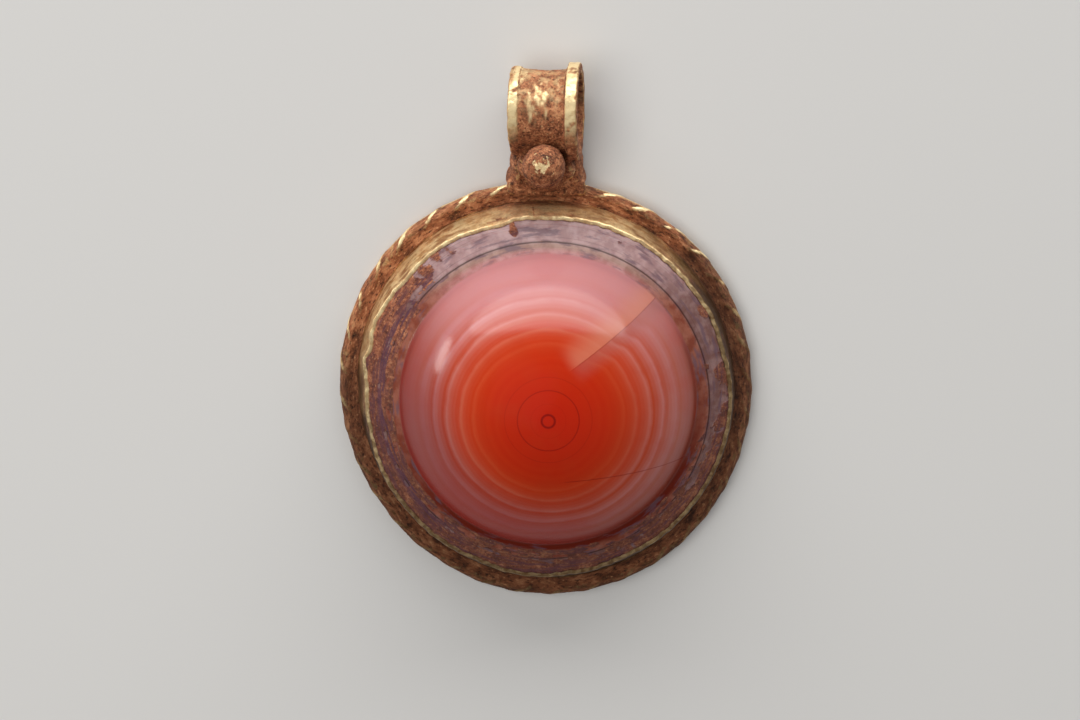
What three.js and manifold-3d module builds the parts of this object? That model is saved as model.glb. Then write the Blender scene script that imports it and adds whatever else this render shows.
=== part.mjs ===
// A gold pendant: a high-domed banded agate in a box setting, edged with a twisted wire,
// hung from a ribbed loop with a gold grain at its foot. It lies on its back with the stone up.
// Millimetres. +Z is up, out of the face of the stone, and +Y runs from the stone to the loop.
// The origin is the centre of the back plate's underside.

import * as THREE from 'three';
import { mergeVertices } from 'three/addons/utils/BufferGeometryUtils.js';
import Module from 'manifold-3d';

const wasm = await Module();
wasm.setup();

// Outline of the setting, measured round the outside of the twisted wire
const BORDER_RADIUS = 16.78;        // mean radius
const BORDER_OVAL = 0.263;          // how far the circle is drawn out into an oval
const BORDER_OVAL_ANGLE = 1.89;     // direction of the oval's long axis, radians
const BORDER_LOBE = 0.125;          // three soft corners left by the hammer
const BORDER_LOBE_ANGLE = 0.54;

// Back plate and the wire soldered on its edge
const PLATE_THICKNESS = 0.7;
const WIRE_RADIUS = 0.6;            // outer radius of the twisted pair
const WIRE_WAIST = 0.45;            // half-width of the pair across its narrow side, soil between the strands
const WIRE_TURNS = 18;              // each turn shows two ridges
const WIRE_OVERHANG = 0.3;          // how far the wire stands out past the plate
const SOLDER_GAP = 0.05;            // between pieces that solder joins

// Sheet band that holds the stone
const GROOVE_WIDTH = 0.28;          // between the wire and the foot of the band
const BAND_THICKNESS = 0.36;
const BAND_HEIGHT = 3.9;            // above the back plate
const BAND_LEAN = 0.57;             // how far the band leans in from foot to rim
const RIM_SHIFT_X = 0.15;           // the rim was pressed over a little off centre
const RIM_SHIFT_Y = 0.13;
const RIM_ROUND = 0.14;             // rounding of the rim's edge
const CRINKLE_DEPTH = 0.13;         // wrinkles where the sheet was pressed in
const CRINKLE_WAVES = 34;
const CRINKLE_ANGLE = 2.6;          // side where the wrinkles are deepest, radians

// Agate
const STONE_CLEARANCE = 0.3;        // between the stone's girdle and the rim
const SHOULDER_WIDTH = 2.2;         // sloping shoulder between girdle and dome
const GIRDLE_LIFT = 0.13;           // girdle's top edge above the rim
const SHOULDER_RISE = 1.34;
const DOME_HEIGHT = 7.26;

// Suspension loop: a spool with a rib at each end and a hollow waist
const LOOP_BORE_RADIUS = 2.87;
const LOOP_WALL = 0.27;             // sheet at the hollow waist
const LOOP_WIDTH = 5.4;
const LOOP_FLARE = 0.26;            // the sheet opens out from its waist to both ends
const LEFT_RIB_HEIGHT = 0.06;       // ribs above the flared sheet
const RIGHT_RIB_HEIGHT = 0.42;
const LEFT_RIB_WIDTH = 0.85;
const RIGHT_RIB_WIDTH = 1.05;
const RIB_ROUND = 0.12;
const WAIST_RINGS = 6;
const LOOP_TURN = 0.1;              // the right end is turned up towards the face, radians
const LOOP_REST_GAP = 0.1;          // the loop clears the table by this
const NECK_LENGTH = 2.68;           // from the border to the loop's waist

// Neck that joins the loop to the setting
const NECK_CLEARANCE = 0.12;        // between the neck and the border it is soldered to
const NECK_WAIST_HALF = 2.75;
const NECK_FOOT_HALF = 3.12;
const NECK_TOE = 0.95;              // solder run that reaches in over the wire
const NECK_TOE_THICKNESS = 1.1;
const NECK_CORNER = 3.2;            // how square its section is
const STUB_ROOT_RADIUS = 1.75;      // solder that climbs from the neck to the grain
const STUB_TIP_RADIUS = 1.3;

// Gold grain at the loop's foot
const GRAIN_RADIUS = 1.68;
const GRAIN_ANGLE = 0.655;          // round the loop, from the neck towards the face
const GRAIN_SIDE = -0.19;           // off the loop's middle
const GRAIN_CLEARANCE = 0.08;

// Facets
const BORDER_STEPS = 120;
const WIRE_STEPS_PER_TURN = 10;
const WIRE_SIDES = 8;
const STONE_STEPS = 60;
const DOME_RINGS = 14;
const LOOP_STEPS = 44;
const NECK_SIDES = 16;
const GRAIN_STEPS = 20;

const TURN = 2 * Math.PI;

// Worked-out sizes
const plateTop = PLATE_THICKNESS;
const wireHeight = plateTop + SOLDER_GAP + WIRE_RADIUS;
const wireTop = wireHeight + WIRE_RADIUS;
const rimTop = plateTop + BAND_HEIGHT;
const bandFootRadius = BORDER_RADIUS - 2 * WIRE_RADIUS - GROOVE_WIDTH;
const rimRadius = bandFootRadius - BAND_LEAN;
const girdleRadius = rimRadius - BAND_THICKNESS - CRINKLE_DEPTH - STONE_CLEARANCE;
const girdleTop = rimTop + GIRDLE_LIFT;
const domeRadius = girdleRadius - SHOULDER_WIDTH;
const domeBase = girdleTop + SHOULDER_RISE;
const capRadius = (domeRadius ** 2 + DOME_HEIGHT ** 2) / (2 * DOME_HEIGHT);
const waistRadius = LOOP_BORE_RADIUS + LOOP_WALL;
const leftRibRadius = waistRadius + LOOP_FLARE + LEFT_RIB_HEIGHT;
const rightRibRadius = waistRadius + LOOP_FLARE + RIGHT_RIB_HEIGHT;
const borderTopEdge = borderRadius(TURN / 4);
const loopY = borderTopEdge + NECK_LENGTH + waistRadius;
const ribDrop = LOOP_WIDTH / 2 * Math.sin(LOOP_TURN);
const leftRibDepth = leftRibRadius * Math.cos(LOOP_TURN) + ribDrop;
const rightRibDepth = rightRibRadius * Math.cos(LOOP_TURN) - ribDrop;
const loopZ = Math.max(leftRibDepth, rightRibDepth) + LOOP_REST_GAP;
const grainReach = waistRadius + GRAIN_CLEARANCE + GRAIN_RADIUS;

// Radius of the setting's outer edge at an angle round the stone.
function borderRadius(angle) {
  return BORDER_RADIUS
    + BORDER_OVAL * Math.cos(2 * (angle - BORDER_OVAL_ANGLE))
    + BORDER_LOBE * Math.cos(3 * (angle - BORDER_LOBE_ANGLE));
}

// Wrinkles of the rim, deepest on one side and almost gone on the other.
function crinkle(angle) {
  const side = 0.5 + 0.5 * Math.cos(angle - CRINKLE_ANGLE);
  const wave = 0.6 * Math.cos(CRINKLE_WAVES * angle) + 0.4 * Math.cos((CRINKLE_WAVES - 9) * angle + 1);
  return CRINKLE_DEPTH * (0.25 + 0.75 * side) * wave;
}

// Skin a row of sections, each a closed loop of points, into one closed solid.
// A closed row joins its last section to its first, and an open one is capped at both ends.
function skin(sections, closedRow) {
  const sides = sections[0].length;
  const positions = sections.flat().flatMap((point) => [point.x, point.y, point.z]);
  const faces = [];
  const rows = closedRow ? sections.length : sections.length - 1;
  for (let row = 0; row < rows; row += 1) {
    const here = row * sides;
    const next = ((row + 1) % sections.length) * sides;
    for (let side = 0; side < sides; side += 1) {
      const beside = (side + 1) % sides;
      faces.push([here + side, here + beside, next + beside], [here + side, next + beside, next + side]);
    }
  }
  if (!closedRow) {
    const last = (sections.length - 1) * sides;
    for (let side = 1; side < sides - 1; side += 1) {
      faces.push([0, side + 1, side], [last, last + side, last + side + 1]);
    }
  }
  return tidy(positions, faces.flat());
}

// Merge shared points, drop faces that shrank to nothing and turn the faces outwards.
function tidy(positions, index) {
  let geometry = new THREE.BufferGeometry();
  geometry.setAttribute('position', new THREE.Float32BufferAttribute(positions, 3));
  geometry.setIndex(index);
  geometry = mergeVertices(geometry, 1e-4);
  const merged = geometry.index.array;
  const place = geometry.attributes.position;
  const kept = [];
  let volume = 0;
  const corners = [new THREE.Vector3(), new THREE.Vector3(), new THREE.Vector3()];
  for (let face = 0; face < merged.length; face += 3) {
    const [a, b, c] = merged.slice(face, face + 3);
    if (a === b || b === c || c === a) continue;
    kept.push(a, b, c);
    [a, b, c].forEach((vertex, slot) => corners[slot].fromBufferAttribute(place, vertex));
    volume += corners[0].dot(corners[1].cross(corners[2]));
  }
  geometry.setIndex(volume < 0 ? kept.reverse() : kept);
  return geometry;
}

// Ring or disc round the Z axis. The profile gives points as radius and height at each angle.
function roundTheStone(steps, profile) {
  const sections = [];
  for (let step = 0; step < steps; step += 1) {
    const angle = TURN * step / steps;
    sections.push(profile(angle).map(([radius, z]) => (
      new THREE.Vector3(radius * Math.cos(angle), radius * Math.sin(angle), z))));
  }
  return skin(sections, true);
}

// Solid turned round the X axis, from points as distance along the axis and radius.
function turnedOnX(steps, profile) {
  const sections = [];
  for (let step = 0; step < steps; step += 1) {
    const angle = TURN * step / steps;
    sections.push(profile.map(([x, radius]) => (
      new THREE.Vector3(x, radius * Math.cos(angle), radius * Math.sin(angle)))));
  }
  return skin(sections, true);
}

function toSolid(geometry) {
  return new wasm.Manifold(new wasm.Mesh({
    numProp: 3,
    vertProperties: new Float32Array(geometry.attributes.position.array),
    triVerts: new Uint32Array(geometry.index.array),
  }));
}

function toGeometry(solid) {
  const { vertProperties, triVerts } = solid.getMesh();
  return tidy(Array.from(vertProperties), Array.from(triVerts));
}

// Flat oval of sheet gold, its edge tucked under the wire.
function backPlate() {
  const points = [];
  for (let step = 0; step < BORDER_STEPS; step += 1) {
    const angle = TURN * step / BORDER_STEPS;
    const radius = borderRadius(angle) - WIRE_OVERHANG;
    points.push(new THREE.Vector2(radius * Math.cos(angle), radius * Math.sin(angle)));
  }
  const plate = new THREE.ExtrudeGeometry(new THREE.Shape(points), { depth: plateTop, bevelEnabled: false });
  plate.deleteAttribute('normal');
  plate.deleteAttribute('uv');
  const merged = mergeVertices(plate, 1e-4);
  return tidy(Array.from(merged.attributes.position.array), Array.from(merged.index.array));
}

// Two strands twisted together, as an oval section that turns as it goes round. Its ridges run
// outwards in the clockwise direction.
function borderWire() {
  const steps = WIRE_TURNS * WIRE_STEPS_PER_TURN;
  const sections = [];
  for (let step = 0; step < steps; step += 1) {
    const angle = TURN * step / steps;
    const twist = WIRE_TURNS * angle;
    const centre = borderRadius(angle) - WIRE_RADIUS;
    const section = [];
    for (let side = 0; side < WIRE_SIDES; side += 1) {
      const round = TURN * side / WIRE_SIDES;
      const long = WIRE_RADIUS * Math.cos(round);
      const short = WIRE_WAIST * Math.sin(round);
      const radius = centre + long * Math.cos(twist) - short * Math.sin(twist);
      const z = wireHeight + long * Math.sin(twist) + short * Math.cos(twist);
      section.push(new THREE.Vector3(radius * Math.cos(angle), radius * Math.sin(angle), z));
    }
    sections.push(section);
  }
  return skin(sections, true);
}

// Band of sheet standing on the plate, leaning in to a rounded, wrinkled rim over the stone's edge.
function bezelBand() {
  const band = roundTheStone(BORDER_STEPS, (angle) => {
    const foot = bandFootRadius + borderRadius(angle) - BORDER_RADIUS;
    const rim = rimRadius + crinkle(angle);
    return [
      [foot, plateTop],
      [(foot + rim) / 2 + RIM_ROUND / 2, plateTop + BAND_HEIGHT * 0.45],
      [rim, rimTop - RIM_ROUND],
      [rim - RIM_ROUND, rimTop],
      [rim - BAND_THICKNESS + RIM_ROUND / 2, rimTop],
      [rim - BAND_THICKNESS, rimTop - RIM_ROUND / 2],
      [rim - BAND_THICKNESS / 2, rimTop - BAND_THICKNESS * 2],
      [foot - BAND_THICKNESS, plateTop],
    ];
  });
  shiftTowardsRim(band);
  return band;
}

// The foot stays where it is and the rim moves over by the full shift.
function shiftTowardsRim(geometry) {
  const place = geometry.attributes.position;
  for (let vertex = 0; vertex < place.count; vertex += 1) {
    const share = (place.getZ(vertex) - plateTop) / BAND_HEIGHT;
    place.setX(vertex, place.getX(vertex) + share * RIM_SHIFT_X);
    place.setY(vertex, place.getY(vertex) + share * RIM_SHIFT_Y);
  }
}

// High cabochon: straight side inside the band, a sloping shoulder and a dome cut from a sphere.
function agateCabochon() {
  const domeEdge = Math.asin(domeRadius / capRadius);
  const profile = [[0, plateTop], [girdleRadius, plateTop], [girdleRadius, girdleTop]];
  for (let ring = 0; ring <= DOME_RINGS; ring += 1) {
    const lean = domeEdge * (1 - ring / DOME_RINGS);
    const drop = capRadius * (1 - Math.cos(lean));
    profile.push([capRadius * Math.sin(lean), domeBase + DOME_HEIGHT - drop]);
  }
  const stone = roundTheStone(STONE_STEPS, () => profile);
  stone.translate(RIM_SHIFT_X, RIM_SHIFT_Y, 0);
  return stone;
}

// Places on the loop's own axis, which runs along X through its centre, are moved to the pendant.
function placeOnLoop(geometry) {
  geometry.applyMatrix4(new THREE.Matrix4().makeRotationY(-LOOP_TURN));
  geometry.translate(0, loopY, loopZ);
  return geometry;
}

// Flare of the sheet at a distance along the loop, nothing at the waist and full at the ends.
function flare(x) {
  return LOOP_FLARE * Math.abs(x) / (LOOP_WIDTH / 2);
}

function loopSpool() {
  const half = LOOP_WIDTH / 2;
  const grooveLeft = -half + LEFT_RIB_WIDTH;
  const grooveRight = half - RIGHT_RIB_WIDTH;
  const groove = [];
  for (let ring = 0; ring <= WAIST_RINGS; ring += 1) {
    const x = grooveLeft + (grooveRight - grooveLeft) * ring / WAIST_RINGS;
    groove.push([x, waistRadius + flare(x)]);
  }
  return placeOnLoop(turnedOnX(LOOP_STEPS, [
    [-half, 0],
    [-half, leftRibRadius - RIB_ROUND],
    [-half + RIB_ROUND, leftRibRadius],
    [grooveLeft - RIB_ROUND, leftRibRadius],
    ...groove,
    [grooveRight + RIB_ROUND, rightRibRadius],
    [half - RIB_ROUND, rightRibRadius],
    [half, rightRibRadius - RIB_ROUND],
    [half, 0],
  ]));
}

function loopBore() {
  const half = LOOP_WIDTH / 2;
  const past = half + 2 * NECK_FOOT_HALF;
  const mouth = LOOP_BORE_RADIUS + flare(half);
  return placeOnLoop(turnedOnX(LOOP_STEPS, [
    [-past, 0],
    [-past, mouth],
    [-half, mouth],
    [0, LOOP_BORE_RADIUS],
    [half, mouth],
    [past, mouth],
    [past, 0],
  ]));
}

// One section of the neck across the pendant, a rounded oblong between two heights.
function neckSection(y, halfWidth, low, high) {
  const section = [];
  for (let side = 0; side < NECK_SIDES; side += 1) {
    const round = TURN * (side + 0.5) / NECK_SIDES;
    const [c, s] = [Math.cos(round), Math.sin(round)];
    const square = (Math.abs(c) ** NECK_CORNER + Math.abs(s) ** NECK_CORNER) ** (-1 / NECK_CORNER);
    const x = halfWidth * c * square;
    const z = (low + high) / 2 + (high - low) / 2 * s * square;
    section.push(new THREE.Vector3(x, y, z));
  }
  return section;
}

// Neck from the solder toe over the wire up into the underside of the spool.
function loopNeck() {
  const face = borderTopEdge + NECK_CLEARANCE;
  const loopBottom = loopY - waistRadius;
  const toeLow = wireTop + NECK_CLEARANCE;
  const toeHigh = toeLow + NECK_TOE_THICKNESS;
  const nearFace = face + SOLDER_GAP;
  return skin([
    neckSection(borderTopEdge - NECK_TOE, NECK_FOOT_HALF, toeLow, toeHigh),
    neckSection(face, NECK_FOOT_HALF, toeLow, toeHigh + 0.3 * NECK_TOE_THICKNESS),
    neckSection(nearFace, NECK_FOOT_HALF, LOOP_REST_GAP, toeHigh + 0.35 * NECK_TOE_THICKNESS),
    neckSection((face + loopBottom) / 2, NECK_WAIST_HALF, LOOP_REST_GAP * 2, loopZ - 0.1 * waistRadius),
    neckSection(loopBottom, NECK_WAIST_HALF, LOOP_REST_GAP * 4, loopZ + 0.15 * waistRadius),
    neckSection(loopBottom + 0.5 * waistRadius, NECK_WAIST_HALF, loopZ - 0.7 * waistRadius, loopZ),
  ], false);
}

// Stub of solder that runs up from the neck and carries the grain.
function grainStub() {
  const rootY = borderTopEdge + NECK_CLEARANCE + STUB_ROOT_RADIUS / 2;
  const root = new THREE.Vector3(0, rootY, wireTop + NECK_TOE_THICKNESS);
  const rise = grainPlace().sub(root);
  const rings = 5;
  const sections = [];
  const across = new THREE.Vector3(1, 0, 0);
  const out = new THREE.Vector3().crossVectors(rise, across).normalize();
  for (let ring = 0; ring < rings; ring += 1) {
    const share = ring / (rings - 1);
    const radius = STUB_ROOT_RADIUS + (STUB_TIP_RADIUS - STUB_ROOT_RADIUS) * share ** 0.6;
    const centre = root.clone().addScaledVector(rise, share);
    const section = [];
    for (let side = 0; side < NECK_SIDES; side += 1) {
      const round = TURN * side / NECK_SIDES;
      section.push(centre.clone()
        .addScaledVector(across, radius * Math.cos(round))
        .addScaledVector(out, radius * Math.sin(round)));
    }
    sections.push(section);
  }
  return skin(sections, false);
}

function grainPlace() {
  const along = new THREE.Vector3(GRAIN_SIDE, 0, 0).applyAxisAngle(new THREE.Vector3(0, 1, 0), -LOOP_TURN);
  return new THREE.Vector3(
    along.x,
    loopY - grainReach * Math.cos(GRAIN_ANGLE),
    loopZ + along.z + grainReach * Math.sin(GRAIN_ANGLE),
  );
}

function ball(radius) {
  const sphere = new THREE.SphereGeometry(radius, GRAIN_STEPS, Math.round(GRAIN_STEPS * 0.7));
  sphere.deleteAttribute('normal');
  sphere.deleteAttribute('uv');
  const merged = mergeVertices(sphere, 1e-4);
  const closed = tidy(Array.from(merged.attributes.position.array), Array.from(merged.index.array));
  const { x, y, z } = grainPlace();
  return closed.translate(x, y, z);
}

// Spool and neck joined, with the bore through them and a seat for the grain.
function suspensionLoop() {
  const body = toSolid(loopSpool()).add(toSolid(loopNeck())).add(toSolid(grainStub()));
  const bored = body.subtract(toSolid(loopBore()));
  return toGeometry(bored.subtract(toSolid(ball(GRAIN_RADIUS + GRAIN_CLEARANCE))));
}

const oldGold = new THREE.MeshStandardMaterial({ color: 0xb08a4a, metalness: 0.9, roughness: 0.45 });
const soiledGold = new THREE.MeshStandardMaterial({ color: 0x8a5a38, metalness: 0.5, roughness: 0.75 });
const redAgate = new THREE.MeshStandardMaterial({ color: 0xb3492f, metalness: 0, roughness: 0.2 });

const pendant = new THREE.Group();

function addPiece(name, geometry, material) {
  const mesh = new THREE.Mesh(geometry, material.clone());
  mesh.name = name;
  pendant.add(mesh);
}

addPiece('back_plate', backPlate(), oldGold);
addPiece('border_wire', borderWire(), soiledGold);
addPiece('bezel_band', bezelBand(), oldGold);
addPiece('agate_cabochon', agateCabochon(), redAgate);
addPiece('suspension_loop', suspensionLoop(), oldGold);
addPiece('gold_grain', ball(GRAIN_RADIUS), soiledGold);

export default pendant;
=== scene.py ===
# %% [markdown]
# # An old gold pendant with an agate cabochon
#
# The pendant lies on its flat back. A high dome of banded agate sits in a box of sheet gold, a
# twisted wire runs round the foot of the box, and a ribbed loop with a gold grain is soldered to it.
# The metal shows bright only where it was rubbed. Brown soil fills every hollow.
# Each piece is modelled over its imported solid, in the solid's place.

# %% Load the imported model
import math

import bpy
import numpy as np
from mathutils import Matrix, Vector, noise


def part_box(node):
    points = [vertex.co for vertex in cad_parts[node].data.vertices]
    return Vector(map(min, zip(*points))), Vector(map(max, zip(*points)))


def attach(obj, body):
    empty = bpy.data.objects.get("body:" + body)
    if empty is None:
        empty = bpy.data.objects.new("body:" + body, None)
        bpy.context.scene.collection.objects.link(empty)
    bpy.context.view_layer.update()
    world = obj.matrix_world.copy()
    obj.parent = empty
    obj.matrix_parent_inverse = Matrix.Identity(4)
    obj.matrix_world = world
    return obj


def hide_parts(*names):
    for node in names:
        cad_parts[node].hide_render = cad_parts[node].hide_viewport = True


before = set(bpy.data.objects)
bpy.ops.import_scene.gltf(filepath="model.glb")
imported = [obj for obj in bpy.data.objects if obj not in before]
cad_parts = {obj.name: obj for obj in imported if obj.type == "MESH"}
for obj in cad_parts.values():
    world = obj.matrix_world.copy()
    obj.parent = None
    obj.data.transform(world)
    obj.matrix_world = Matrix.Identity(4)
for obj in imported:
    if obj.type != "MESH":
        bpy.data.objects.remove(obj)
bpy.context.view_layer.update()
print("solids:", ", ".join(sorted(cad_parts)))

# %% [markdown]
# ## The bench
#
# The pendant is 44 mm long, and some of Blender's tools stop at a tenth of a millimetre. So the
# pieces are modelled with one unit for a millimetre, and a finished mesh is brought down to metres.

# %% Bench tools
TURN = 2 * math.pi
METRES = 0.001


def select_nothing():
    bpy.ops.object.select_all(action="DESELECT")


def settled():
    """The active object, with its place and scale brought into its mesh."""
    bpy.ops.object.transform_apply(location=True, rotation=True, scale=True)
    return bpy.context.object


def only(piece):
    """Make one piece the selected and active object."""
    select_nothing()
    piece.select_set(True)
    bpy.context.view_layer.objects.active = piece
    return piece


def places(piece):
    """The vertices of a piece as an array with three columns."""
    flat = np.empty(len(piece.data.vertices) * 3, np.float32)
    piece.data.vertices.foreach_get("co", flat)
    return flat.reshape(-1, 3).astype(float)


def set_places(piece, points):
    piece.data.vertices.foreach_set("co", points.astype(np.float32).ravel())
    piece.data.update()


def directions(piece):
    """The normal at each vertex."""
    flat = np.empty(len(piece.data.vertices) * 3, np.float32)
    piece.data.vertex_normals.foreach_get("vector", flat)
    return flat.reshape(-1, 3).astype(float)


def apply_modifier(piece, kind, **settings):
    only(piece)
    made = piece.modifiers.new(kind.title(), kind)
    for name, value in settings.items():
        setattr(made, name, value)
    bpy.ops.object.modifier_apply(modifier=made.name)


def hand_over(piece, node, finish):
    """Bring a finished piece to metres, give it its finish and let it stand for its solid."""
    only(piece)
    piece.scale = (METRES, METRES, METRES)
    settled()
    bpy.ops.object.shade_smooth()
    piece.data.materials.clear()
    piece.data.materials.append(finish)
    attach(piece, "root")
    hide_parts(node)
    triangles = sum(len(face.vertices) - 2 for face in piece.data.polygons)
    print(node, triangles, "triangles")


# %% [markdown]
# ## Uneven surfaces
#
# Nothing on an old piece is quite smooth. Two helpers do most of that work. One gives an uneven
# field of lumps of a chosen size, to push vertices in and out. The other measures where a surface
# stands proud or lies hollow, by comparing it with a smoothed copy of itself. A finish reads that
# measure to know where fingers rubbed the gold bright and where soil stayed.

# %% Lumps and relief
def lumps(points, size, octaves=3, place=(0.0, 0.0, 0.0)):
    """Uneven values from about -1 to 1 at each point, with lumps of about the given size."""
    shift = Vector(place)
    return np.array([
        noise.fractal(Vector(point) / size + shift, 0.9, 2.1, octaves, noise_basis="PERLIN_ORIGINAL")
        for point in points])


def mark(piece, name, values):
    """Keep one number for each vertex, for a finish to read."""
    layer = piece.data.attributes.new(name, "FLOAT", "POINT")
    layer.data.foreach_set("value", np.asarray(values, np.float32))


def mark_relief(piece, rounds):
    """Height above a smoothed copy, in millimetres: ridges above zero and hollows below."""
    count = len(piece.data.vertices)
    edges = np.empty(len(piece.data.edges) * 2, np.int32)
    piece.data.edges.foreach_get("vertices", edges)
    a, b = edges[0::2], edges[1::2]
    near = np.maximum(np.bincount(edges, minlength=count), 1)
    start = places(piece)
    soft = start.copy()
    for _ in range(rounds):
        mean = np.stack([
            np.bincount(a, soft[b, axis], count) + np.bincount(b, soft[a, axis], count)
            for axis in range(3)], axis=1) / near[:, None]
        soft += 0.7 * (mean - soft)
    mark(piece, "relief", ((start - soft) * directions(piece)).sum(1))


def step_up(values, low, high):
    """Smooth change from 0 to 1 between two values."""
    share = np.clip((values - low) / (high - low), 0, 1)
    return share * share * (3 - 2 * share)


# %% [markdown]
# ## The outline and the angle round the stone
#
# The setting is nearly round. It is drawn out a little towards the loop and has three soft corners.
# The wire, the plate and the foot of the box all follow that outline.

# %% Outline of the setting
BORDER_RADIUS = 16.78     # mean reach of the outer edge
WIRE_RADIUS = 0.6         # the twisted pair, as one round rod
PLATE_TOP = 0.7
WIRE_HEIGHT = 1.35        # middle of the pair above the ground
RIM_TOP = 4.6
STONE_AXIS = (0.15, 0.13)  # the stone sits a little off the middle


def outline(angle):
    """How far the outer edge lies outside its mean radius, at an angle round the stone."""
    return 0.263 * np.cos(2 * (angle - 1.89)) + 0.125 * np.cos(3 * (angle - 0.54))


def around(points):
    """Angle and radius of each point round an upright axis."""
    x, y = points[:, 0], points[:, 1]
    return np.arctan2(y, x), np.hypot(x, y)


def apart(angle, degrees):
    """Signed angle from a direction, in degrees, from -180 to 180."""
    return (np.degrees(angle) - degrees + 180) % 360 - 180


# %% [markdown]
# ## The camera
#
# The photograph looks at the face from slightly above, so here the camera hangs over the pendant
# and leans 12 degrees towards the loop. A long lens keeps the rings of the stone round.

# %% Camera
LEAN = math.radians(12)
DISTANCE = 0.240
towards_camera = Vector((0, math.sin(LEAN), math.cos(LEAN)))
aim = Vector((-0.482, 2.374, 1.344)) * METRES
bpy.ops.object.camera_add(location=aim + towards_camera * DISTANCE, rotation=(-LEAN, 0, 0))
camera = bpy.context.object
camera.data.lens = 100
camera.data.sensor_width = 36
camera.data.clip_start = 0.01
bpy.context.scene.camera = camera
bpy.context.scene.view_settings.view_transform = "Standard"

# %% [markdown]
# ## Floor and light
#
# A pale plain floor, and three soft lamps as in a small studio. The widest stands behind the loop
# and low, so it rakes over the ribs, and its mirror image lies as a soft haze on the upper side of
# the dome. A small one, low on the left, gives the dome its bright spot. A third one overhead keeps
# the hollows readable, and shows in no mirror image.

# %% Screen colours
def colour(red, green, blue):
    """A screen colour, 0 to 255, as the linear colour that a shader takes."""
    shares = [value / 255 for value in (red, green, blue)]
    return tuple(
        share / 12.92 if share <= 0.04045 else ((share + 0.055) / 1.055) ** 2.4 for share in shares)


# %% Floor
def new_finish(name):
    """A material, its tree of nodes and the sockets of its shader."""
    finish = bpy.data.materials.new(name)
    finish.use_nodes = True
    return finish, finish.node_tree, finish.node_tree.nodes["Principled BSDF"].inputs


bpy.ops.mesh.primitive_plane_add(size=4)
floor = bpy.context.object
floor.name = "studio_floor"
paper, _, shader = new_finish("pale_paper")
shader["Base Color"].default_value = (*colour(205, 203, 199), 1.0)
shader["Roughness"].default_value = 0.9
floor.data.materials.append(paper)


# %% Lamps
MIDDLE = Vector((0, 0.004, 0.004))


def softbox(name, shape, place, width, height, power):
    """An area lamp that points at the middle of the pendant."""
    bpy.ops.object.light_add(type="AREA", location=place)
    lamp = bpy.context.object
    lamp.name = name
    lamp.data.shape = shape
    lamp.data.size, lamp.data.size_y = width, height
    lamp.data.energy = power
    lamp.rotation_euler = (MIDDLE - lamp.location).to_track_quat("-Z", "Y").to_euler()
    return lamp


softbox("behind_the_loop", "ELLIPSE", (0.0, 0.585, 0.245), 1.5, 0.37, 5.7)
softbox("low_left", "ELLIPSE", (-0.55, 0.170, 0.050), 0.20, 0.08, 0.36)
softbox("overhead", "RECTANGLE", (-0.20, 0.06, 0.60), 0.5, 0.5, 2.6).visible_glossy = False
world = bpy.data.worlds.new("studio_air")
world.use_nodes = True
world.node_tree.nodes["Background"].inputs["Color"].default_value = (0.5, 0.5, 0.52, 1)
world.node_tree.nodes["Background"].inputs["Strength"].default_value = 0.3
bpy.context.scene.world = world

# %% [markdown]
# ## Building finishes
#
# Every finish is a small tree of nodes. `put` adds one node and wires it, and the helpers after it
# are the few sums that come again and again. A colour is three linear numbers, or comes through
# `colour`. All patterns are measured in millimetres, on the piece's own coordinates, so they stay
# on it when it is turned.

# %% Node tools
def put(tree, kind, settings=None, **wires):
    """Add a node. Each wire is a socket to link or a value to set, by input name or iN number."""
    made = tree.nodes.new("ShaderNode" + kind)
    for name, value in (settings or {}).items():
        setattr(made, name, value)
    for name, value in wires.items():
        number = name[0] == "i" and name[1:].isdigit()
        socket = made.inputs[int(name[1:]) if number else name.replace("_", " ")]
        if isinstance(value, bpy.types.NodeSocket):
            tree.links.new(value, socket)
        else:
            socket.default_value = (*value, 1.0) if socket.type == "RGBA" else value
    return made


def sums(tree, operation, a, b=0.0, clamp=False):
    """One sum of two numbers."""
    return put(tree, "Math", {"operation": operation, "use_clamp": clamp}, i0=a, i1=b).outputs[0]


def times(tree, first, *others):
    for other in others:
        first = sums(tree, "MULTIPLY", first, other)
    return first


def plus(tree, first, *others):
    for other in others:
        first = sums(tree, "ADD", first, other)
    return first


def minus(tree, a, b, clamp=False):
    return sums(tree, "SUBTRACT", a, b, clamp)


def away(tree, value, middle):
    """How far a value lies from a middle, to either side."""
    return sums(tree, "ABSOLUTE", minus(tree, value, middle))


def fade(tree, value, low, high, start=0.0, end=1.0):
    """Smooth change from start to end as a value goes from low to high."""
    return put(tree, "MapRange", {"interpolation_type": "SMOOTHSTEP"},
               i0=value, i1=low, i2=high, i3=start, i4=end).outputs[0]


def mix(tree, share, a, b):
    """Mix two colours."""
    return put(tree, "Mix", {"data_type": "RGBA"}, i0=share, i6=a, i7=b).outputs[2]


def blend(tree, share, a, b):
    """Mix two numbers."""
    return put(tree, "Mix", {"data_type": "FLOAT"}, i0=share, i2=a, i3=b).outputs[0]


def cloud(tree, where, scale, detail=3.0, roughness=0.55):
    """Soft noise around 0.5."""
    made = put(tree, "TexNoise", Vector=where, Scale=scale, Detail=detail, Roughness=roughness)
    return made.outputs[0]


def ramp(tree, value, stops):
    """Colours or greys along a value, given as pairs of place and colour."""
    made = put(tree, "ValToRGB", i0=value)
    elements = made.color_ramp.elements
    while len(elements) < len(stops):
        elements.new(0.5)
    for element, (place, shade) in zip(elements, stops):
        element.position = place
        element.color = (*(shade if isinstance(shade, tuple) else [shade] * 3), 1.0)
    return made.outputs[0]


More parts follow.
